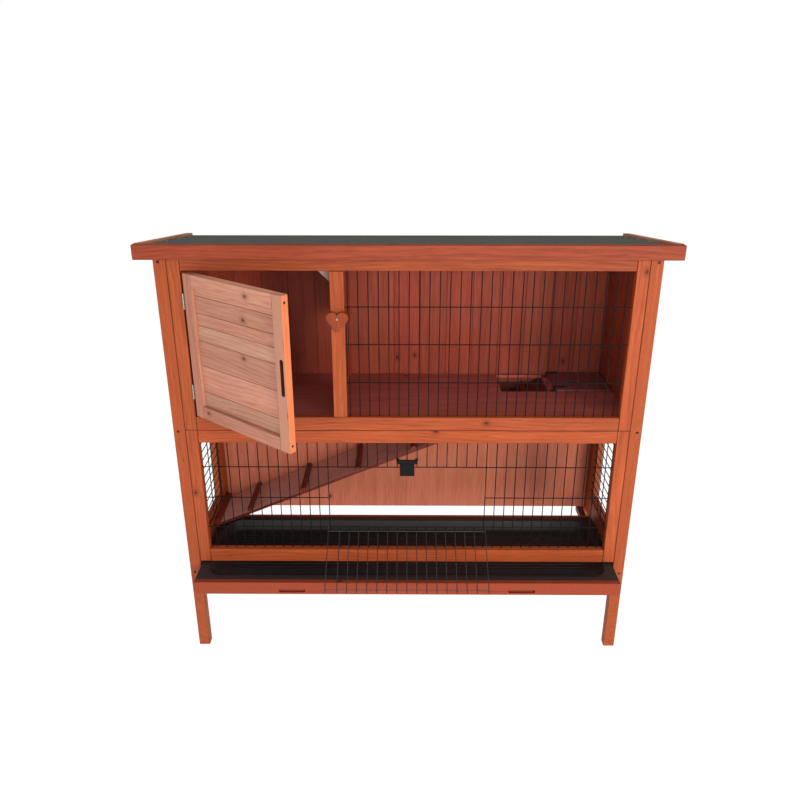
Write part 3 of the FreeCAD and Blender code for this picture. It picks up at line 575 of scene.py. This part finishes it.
# ---- Ramp -----------------------------------------------------------------------------------
# A plywood board up to the hatch, with thin fir cleats nailed across it as footholds and a
# ledger at each end.
ramp_ply = wood("mauve_stained_plywood_painted_shade", "X", "#d6a396", "#b67d6e", "#5a2a22", rings=0.1, patch=1.0,
                knots=0.12, rough=0.55)
# Painted shade: just below the hatch the ramp's upper end turns to a dark wine red, as if in the upper
# floor's shade.
painted_shade_between(ramp_ply, start=under_floor - 0.17, end=under_floor - 0.07, code="#542220")


def sawn_copy(node, name):
    """A new piece in a CAD node's own shape, with its loose faces joined up."""
    piece = bpy.data.objects.new(name, nodes[node].data.copy())
    scene.collection.objects.link(piece)
    only(piece)
    bpy.ops.object.mode_set(mode="EDIT")
    bpy.ops.mesh.select_all(action="SELECT")
    bpy.ops.mesh.remove_doubles(threshold=0.00001)
    bpy.ops.mesh.dissolve_limited(angle_limit=math.radians(1))
    bpy.ops.object.mode_set(mode="OBJECT")
    return piece


def rounded(piece, width, segments, angle=30):
    """Rounds the edges of a piece that turn by more than this angle in degrees."""
    only(piece)
    edges = piece.modifiers.new("edges", "BEVEL")
    edges.width = width
    edges.segments = segments
    edges.angle_limit = math.radians(angle)
    bpy.ops.object.modifier_apply(modifier=edges.name)
    return piece


ramp = rounded(sawn_copy("ramp_board", "ramp_plywood"), width=0.0008, segments=2)
fit(ramp, "ramp_board", "carcass", ramp_ply)
# The sawn edges and the underside are a dark, nearly brown colour.
ply_edge = wood("dark_sawn_ply_edge", "X", "#6d2b1e", "#4c1a12", "#240c08", rings=0.1, knots=0.0)
ramp.data.materials.append(ply_edge)
for face in ramp.data.polygons:
    face.material_index = int(abs(face.normal.y) > 0.9 or face.normal.z < -0.5)
# The small battens in the lower storey are a deep brown-red.
dark_fir = wood("deep_brown_red_fir", "Y", "#7e3123", "#561d14", "#240c08")
dress(["ramp_cleats", "ramp_ledgers", "drawer_runners"], dark_fir)

# ---- Hatch cover ----------------------------------------------------------------------------
# A small plywood lid folded back flat on two black strap hinges. Its face was stained twice and
# is nearly brown.
lid = planed("hatch_lid", blocks("hatch_cover"), rounding=0.0008, gap=(0, 0, 0))
lid_ply = wood("brown_stained_plywood", "Y", "#8a4c4e", "#6a383a", "#2a1212", rings=0.1, knots=0.0)
fit(lid, "hatch_cover", "hatch_cover", lid_ply)
# Black lacquer over steel: near black with a faint sheen. The frame's screws have it too.
black_steel, tree, shader = new_material("black_lacquered_steel", 0.4, 0.3)
shader.inputs["Base Color"].default_value = srgb("#101012")
dress(["hatch_hinges_fixed", "hatch_hinges_moving", "hatch_hinge_pins", "frame_screws", "door_screws"],
      black_steel)

# ---- Nest door ------------------------------------------------------------------------------
# A fir frame of two stiles and two rails round seven level slats set back 8 mm, with a finger
# slot in the free stile. It is more salmon than red, partly as painted light. Hung on two zinc hinges.
hinge = [joint for joint in frame["joints"] if joint["name"] == "nest_door_hinge"][0]
pivot = Matrix.Translation(Vector(hinge["pos_m"]))
swing = math.radians(-hinge["range_deg"][0])
shut = pivot @ Matrix.Rotation(swing, 4, "Z") @ pivot.inverted()
opened = shut.inverted()
# Partly painted light: the door's fir is paler than the frame's, standing in for the sheen and light
# that fall on its face from the left.
pale = {}
for along in "XZ":
    pale[along] = wood("pale_salmon_fir_" + along, along, "#c8937c", "#a2654e", "#5a281c", swing=swing,
                       patch=1.1, knots=0.62)
# Painted shade: the inside of the slot is dark, where shade falls in it, and the sawn outer edge took a
# bright orange.
routed_fir = wood("dark_routed_fir_painted_shade", "Z", "#6e2c1e", "#481812", "#240c08", swing=swing, knots=0.0)
sawn_fir = wood("orange_sawn_fir_edge", "Z", "#dd8455", "#b65b34", "#5a2218", swing=swing, knots=0.2)


def slot_shape(place, size, corner):
    """The shape of a finger slot with rounded ends, to be cut out."""
    bpy.ops.mesh.primitive_cube_add(size=1, location=place)
    slot = bpy.context.object
    slot.scale = size
    bpy.ops.object.transform_apply(location=True, rotation=True, scale=True)
    return rounded(slot, width=corner, segments=5)


slot_size = Vector((0.011, 0.0202, 0.084))
slot_inset, slot_height, slot_depth = 0.010, 0.880, 0.0151
for node, along in (("door_hinge_stile", "Z"), ("door_handle_stile", "Z"), ("door_top_rail", "X"),
                    ("door_bottom_rail", "X"), ("door_slats", "X")):
    timbers = rows(node, 2, shut) if node == "door_slats" else blocks(node, shut)
    timber = planed(node + "_timber", timbers, gap=(0, 0, 0))
    if node == "door_handle_stile":
        low, high = blocks(node, shut)[0]
        place = (high.x - slot_inset, low.y + slot_depth - slot_size.y / 2, slot_height)
        cutters = [slot_shape(place, slot_size, corner=0.0045)]
        for low_screw, high_screw in blocks("door_screws", shut):
            spot = (low_screw + high_screw) / 2
            cutters.append(counterbore((high.x, spot.y, spot.z), (0, math.pi / 2, 0)))
        cut_out(timber, cutters)
    timber.data.transform(opened)
    fit(timber, node, "nest_door", pale[along])
    if node == "door_handle_stile":
        timber.data.materials.append(sawn_fir)
        timber.data.materials.append(routed_fir)
        outward = opened.to_3x3() @ Vector((1, 0, 0))
        for face in timber.data.polygons:
            middle = shut @ face.center
            beside = abs(high.x - middle.x - slot_inset) < slot_size.x / 2 + 0.001
            routed = beside and abs(middle.z - slot_height) < slot_size.z / 2 + 0.001
            level = abs((shut.to_3x3() @ face.normal).y) > 0.95
            slot_floor = len(face.vertices) > 4 and middle.y > low.y + 0.001
            # Painted shade: the slot's sides and floor take the dark routed fir.
            if routed and (not level or slot_floor):
                face.material_index = 2
            elif face.normal.dot(outward) > 0.95:
                face.material_index = 1
# Zinc plate gone dull: light grey with a soft sheen.
zinc, tree, shader = new_material("dull_zinc_plate", 0.42, 1.0)
shader.inputs["Base Color"].default_value = srgb("#96948d")
dress(["door_hinge_leaves_fixed", "door_hinge_leaves_moving", "door_hinge_pins", "turn_button_screw"],
      zinc)

# ---- Turn button ----------------------------------------------------------------------------
# A heart sawn from fir 11 mm thick, with its edges sanded round. One zinc screw holds it to the
# centre stile.
heart = rounded(sawn_copy("turn_button", "heart_button"), width=0.0018, segments=3, angle=50)
# A heavier coat of the posts' stain, so the heart shows a little darker than the stile behind it.
button_fir = wood("orange_stained_fir", "Z", "#984622", "#702c17", "#300f08")
fit(heart, "turn_button", "turn_button", button_fir)

# ---- Drawer ---------------------------------------------------------------------------------
# A fir frame with two finger slots sawn into its front. A black vacuum-formed plastic tray hangs in
# it by its rim, with long ribs along its floor. The front took a redder, brick-coloured stain.
brick_fir = wood("brick_stained_fir", "X", "#a04325", "#6f2815", "#300e08", knots=0.25)
grip_size, grip_height, grip_from_middle = (0.070, 0.018, 0.010), 0.011, 0.298
for node, along in (("drawer_front", "X"), ("drawer_sides", "Y"), ("drawer_back", "X")):
    timber = planed(node + "_timber", blocks(node))
    stain = fir[along]
    if node == "drawer_front":
        stain = brick_fir
        low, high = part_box(node)
        grips = [slot_shape((x, low.y, low.z + grip_height), grip_size, corner=0.0042)
                 for x in (-grip_from_middle, grip_from_middle)]
        cut_out(timber, grips)
    fit(timber, node, "drawer", stain)

# Black polystyrene, dusty in use, so it shows only a soft highlight in its corners.
tray_plastic, tree, shader = new_material("black_moulded_polystyrene", 0.4)
shader.inputs["Base Color"].default_value = srgb("#2b2728")
shader.inputs["Specular IOR Level"].default_value = 0.22
place = add(tree, "TexCoord").outputs["Object"]
dust = add(tree, "TexNoise", {"Vector": place, "Scale": 90.0, "Detail": 4.0}).outputs["Fac"]
dull = add(tree, "MapRange", {"Value": dust, "To Min": 0.3, "To Max": 0.5}).outputs[0]
tree.links.new(dull, shader.inputs["Roughness"])


tray_low, tray_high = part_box("drawer_tray")
side_rim, front_rim, back_rim = 0.025, 0.016, 0.023
tray_sheet, tray_depth = 0.002, 0.027
corner_radius, wall_slope, floor_fillet = 0.040, 0.014, 0.007


def bowl(spread, top, bottom):
    """A closed block with round corners, sides that slope in and a filleted underside. spread makes
    it wider than the tray's hollow on every side."""
    wide = tray_high.x - tray_low.x - 2 * side_rim + 2 * spread
    deep = tray_high.y - tray_low.y - front_rim - back_rim + 2 * spread
    x = (tray_low.x + tray_high.x) / 2
    y = (tray_low.y + front_rim + tray_high.y - back_rim) / 2
    bpy.ops.object.select_all(action="DESELECT")
    bpy.ops.mesh.primitive_plane_add(size=1, location=(x, y, top))
    block = bpy.context.object
    block.scale = (wide, deep, 1)
    bpy.ops.object.transform_apply(location=True, rotation=True, scale=True)
    bpy.ops.object.mode_set(mode="EDIT")
    bpy.ops.mesh.select_mode(type="VERT")
    bpy.ops.mesh.select_all(action="SELECT")
    bpy.ops.mesh.bevel(offset=corner_radius + spread, segments=8, affect="VERTICES")
    bpy.ops.mesh.select_mode(type="FACE")
    bpy.ops.mesh.select_all(action="SELECT")
    bpy.ops.mesh.extrude_region_move(TRANSFORM_OT_translate={"value": (0, 0, bottom - top)})
    narrower = ((wide - 2 * wall_slope) / wide, (deep - 2 * wall_slope) / deep, 1)
    bpy.ops.transform.resize(value=narrower, center_override=(x, y, bottom))
    bpy.ops.mesh.bevel(offset=floor_fillet, segments=4, affect="EDGES")
    bpy.ops.mesh.select_all(action="SELECT")
    bpy.ops.mesh.normals_make_consistent(inside=False)
    bpy.ops.object.mode_set(mode="OBJECT")
    return block


rim_low = Vector((tray_low.x, tray_low.y, tray_high.z - tray_sheet))
tray = planed("moulded_tray", [(rim_low, tray_high)], rounding=0.0006, gap=(0, 0, 0))
tray_floor = tray_high.z - tray_depth
outside = bowl(tray_sheet, top=tray_high.z - tray_sheet / 2, bottom=tray_low.z + 0.0001)
inside = bowl(0.0, top=tray_high.z + 0.001, bottom=tray_floor)
combine(tray, outside, "UNION")
cut_out(tray, [inside])
rib_pitch, rib_width, rib_ends, first_rib = 0.014, 0.005, 0.072, 0.052
ribs = []
for i in range(15):
    y = tray_low.y + first_rib + i * rib_pitch
    ribs.append((Vector((tray_low.x + rib_ends, y, tray_floor - 0.0005)),
                 Vector((tray_high.x - rib_ends, y + rib_width, tray_floor + 0.0022))))
bars = planed("tray_ribs", ribs, rounding=0.0012)
joined([tray, bars], "moulded_tray")
bpy.ops.object.shade_smooth_by_angle(angle=math.radians(35))
fit(tray, "drawer_tray", "drawer", tray_plastic)

# ---- Latch ----------------------------------------------------------------------------------
# A small clip moulded in black nylon, with rounded edges. It hangs on two upright wires and
# slides up to free the wire door. The nylon is matt, so it shows as a plain black shape.
latch_plastic, tree, shader = new_material("black_moulded_nylon", 0.42)
shader.inputs["Base Color"].default_value = srgb("#0a0a0b")
shader.inputs["Specular IOR Level"].default_value = 0.12
latch = rounded(sawn_copy("wire_door_latch", "latch_moulding"), width=0.0009, segments=3, angle=50)
bpy.ops.object.shade_smooth_by_angle(angle=math.radians(35))
fit(latch, "wire_door_latch", "wire_door_latch", latch_plastic)

# ---- Roof -----------------------------------------------------------------------------------
# A sheet deck with mineral felt over it, framed by three fascia boards that stand above the
# felt at the sides. The felt is dark grey-green and covered in slate granules.
side_fascia_depth, back_batten_depth = 0.034, 0.025
front = planed("front_fascia_board", blocks("roof_front_fascia"), rounding=0.0016, gap=(0, 0, 0))
fit(front, "roof_front_fascia", "carcass", brick_fir)
# Painted light: the side fascias get a pale orange fir, standing in for the light that falls on their
# top faces.
pale_fir = wood("pale_fir_painted_light", "Y", "#cf8f66", "#a5613c", "#5a281c", knots=0.1)
for side in ("left", "right"):
    node = "roof_" + side + "_fascia"
    board = planed(side + "_fascia_board", blocks(node), rounding=0.0016, gap=(0, 0.0003, 0),
                   thick=side_fascia_depth)
    fit(board, node, "carcass", pale_fir)
batten = planed("back_eaves_batten", blocks("roof_back_batten"), thick=back_batten_depth)
fit(batten, "roof_back_batten", "carcass", fir["X"])
dress(["roof_deck"], wine_ply)
felt, tree, shader = new_material("green_mineral_felt", 0.95)
place = add(tree, "TexCoord").outputs["Object"]
grit = add(tree, "TexVoronoi", {"Vector": place, "Scale": 420.0}).outputs["Color"]
grit = add(tree, "SeparateColor", {0: grit}).outputs["Red"]
cloud = add(tree, "TexNoise", {"Vector": place, "Scale": 14.0, "Detail": 4.0}).outputs["Fac"]
mottle = add(tree, "Math", {0: cloud, 1: 0.6, 2: grit}, operation="MULTIPLY_ADD",
             use_clamp=True).outputs[0]
colour = add(tree, "Mix", {0: mottle, 6: srgb("#242721"), 7: srgb("#53564e")},
             data_type="RGBA").outputs[2]
tree.links.new(colour, shader.inputs["Base Color"])
bump = add(tree, "Bump", {"Height": grit, "Strength": 0.6, "Distance": 0.001}).outputs[0]
tree.links.new(bump, shader.inputs["Normal"])
low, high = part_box("roofing_felt")
felt_thick, under_thick, felt_step = 0.0025, 0.0013, 0.0012
lap_share, lap_width = 0.62, 0.06
lap_y = low.y + lap_share * (high.y - low.y)
lap_z = high.z - deck_fall * (lap_y - low.y)
under_y = lap_y - lap_width
under_z = high.z - deck_fall * (under_y - low.y) - felt_step
upper = planed("upper_sheet", [(Vector((low.x, low.y, lap_z - felt_thick)),
                                Vector((high.x, lap_y, high.z)))],
               rounding=0.0005, gap=(0, 0, 0), thick=felt_thick)
lower = planed("lower_sheet", [(Vector((low.x, under_y, low.z)),
                                Vector((high.x, high.y, under_z)))],
               rounding=0.0005, gap=(0, 0, 0), thick=under_thick)
sheets = joined([upper, lower], "felt_sheets")
fit(sheets, "roofing_felt", "carcass", felt)

# Galvanised clout nails hold the felt's side edges down, 10 cm apart. They lie nearly flush, lower
# where there is only the thin lower sheet.
nail_pitch, nail_inset, first_nail = 0.1, 0.015, 0.04
head_radius, head_thick, head_lift = 0.004, 0.0012, 0.0002
nails = []
for i in range(4):
    for x in (low.x + nail_inset, high.x - nail_inset):
        y = low.y + first_nail + i * nail_pitch
        z = high.z - deck_fall * (y - low.y) + head_lift - (felt_step if y > lap_y else 0)
        bpy.ops.object.select_all(action="DESELECT")
        bpy.ops.mesh.primitive_cylinder_add(vertices=12, radius=head_radius, depth=head_thick,
                                            location=(x, y, z))
        bpy.ops.object.transform_apply(location=True, rotation=True, scale=True)
        nail = bpy.context.object
        for face in nail.data.polygons:
            face.select = face.normal.z > 0.9
        bpy.ops.object.mode_set(mode="EDIT")
        bpy.ops.mesh.select_mode(type="FACE")
        bpy.ops.mesh.bevel(offset=0.0005, segments=2, affect="EDGES")
        bpy.ops.object.mode_set(mode="OBJECT")
        nails.append(nail)
clouts = joined(nails, "clout_nails")
bpy.ops.object.shade_smooth_by_angle(angle=math.radians(50))
clouts.data.materials.clear()
clouts.data.materials.append(zinc)
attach(clouts, "carcass")

# ---- Size -----------------------------------------------------------------------------------
# The box round the finished model as it shows, without the studio floor.
low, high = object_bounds()
